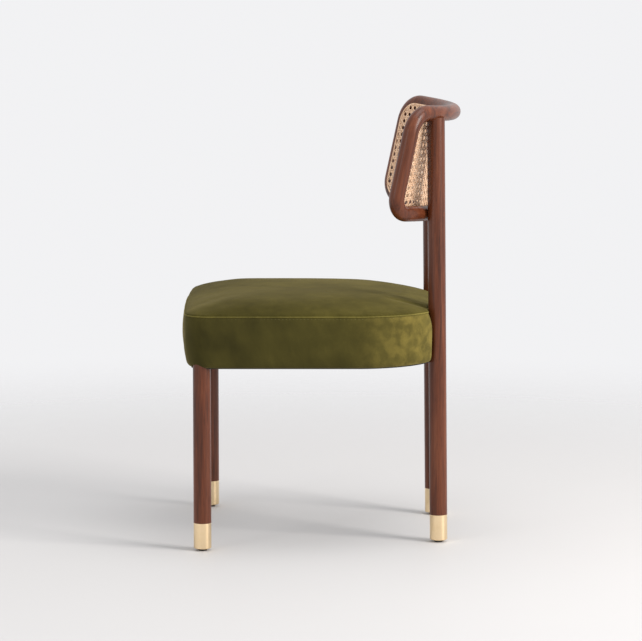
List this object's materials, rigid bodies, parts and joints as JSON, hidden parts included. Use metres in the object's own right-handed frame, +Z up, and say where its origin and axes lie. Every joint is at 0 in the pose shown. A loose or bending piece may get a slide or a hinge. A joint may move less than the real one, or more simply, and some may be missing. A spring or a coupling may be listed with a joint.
{
  "type": "dining chair",
  "caption": "Dining chair with round wooden legs in brass ferrules, a padded velvet seat and a curved cane back panel in a bent wooden ring.",
  "frame": {"origin": "on the floor, at the middle of the chair's footprint: midway between the left and right sides of the seat, and midway between the front of the seat and the rear of the top rail", "axes": "+Z up; the chair faces -Y; +X is on the right of someone who looks at its front"},
  "size_m": [0.494, 0.5109, 0.7946],
  "materials": {
    "walnut": "dark satin lacquered wood",
    "beech": "unfinished hidden hardwood",
    "plywood": "unfinished plywood",
    "cane": "natural woven cane",
    "brass": "polished pale brass",
    "steel": "zinc plated",
    "glide_plastic": "moulded",
    "velvet": "olive velvet",
    "foam": "upholstery foam",
    "wadding": "polyester wadding",
    "lining": "non-woven lining"
  },
  "bodies": {
    "root": {"back_bottom_rail": "walnut", "back_post_left": "walnut", "back_post_right": "walnut", "back_ring_dowels": "beech", "back_top_rail": "walnut", "back_wing_left": "walnut", "back_wing_right": "walnut", "bottom_rail_screws": "steel", "cane_panel": "cane", "cane_spline": "cane", "corner_block_front_left": "beech", "corner_block_front_right": "beech", "corner_block_rear_left": "beech", "corner_block_rear_right": "beech", "corner_block_screws": "steel", "deck_screws": "steel", "dust_cover": "lining", "dust_cover_staples": "steel", "edge_padding": "wadding", "ferrule_back_left": "brass", "ferrule_back_right": "brass", "ferrule_front_left": "brass", "ferrule_front_right": "brass", "front_leg_left": "walnut", "front_leg_right": "walnut", "glide_back_left": "glide_plastic", "glide_back_right": "glide_plastic", "glide_front_left": "glide_plastic", "glide_front_right": "glide_plastic", "glide_nails": "steel", "leg_bolt_nuts": "steel", "leg_bolt_washers": "steel", "leg_dowels": "beech", "leg_hanger_bolts": "steel", "post_bolt_washers": "steel", "post_bolts": "steel", "post_top_dowels": "beech", "screw_plugs": "walnut", "seat_deck": "plywood", "seat_foam": "foam", "seat_rail_front": "beech", "seat_rail_left": "beech", "seat_rail_rear": "beech", "seat_rail_right": "beech", "velvet_side_band": "velvet", "velvet_top_panel": "velvet", "velvet_welt": "velvet"}
  },
  "joints": []
}
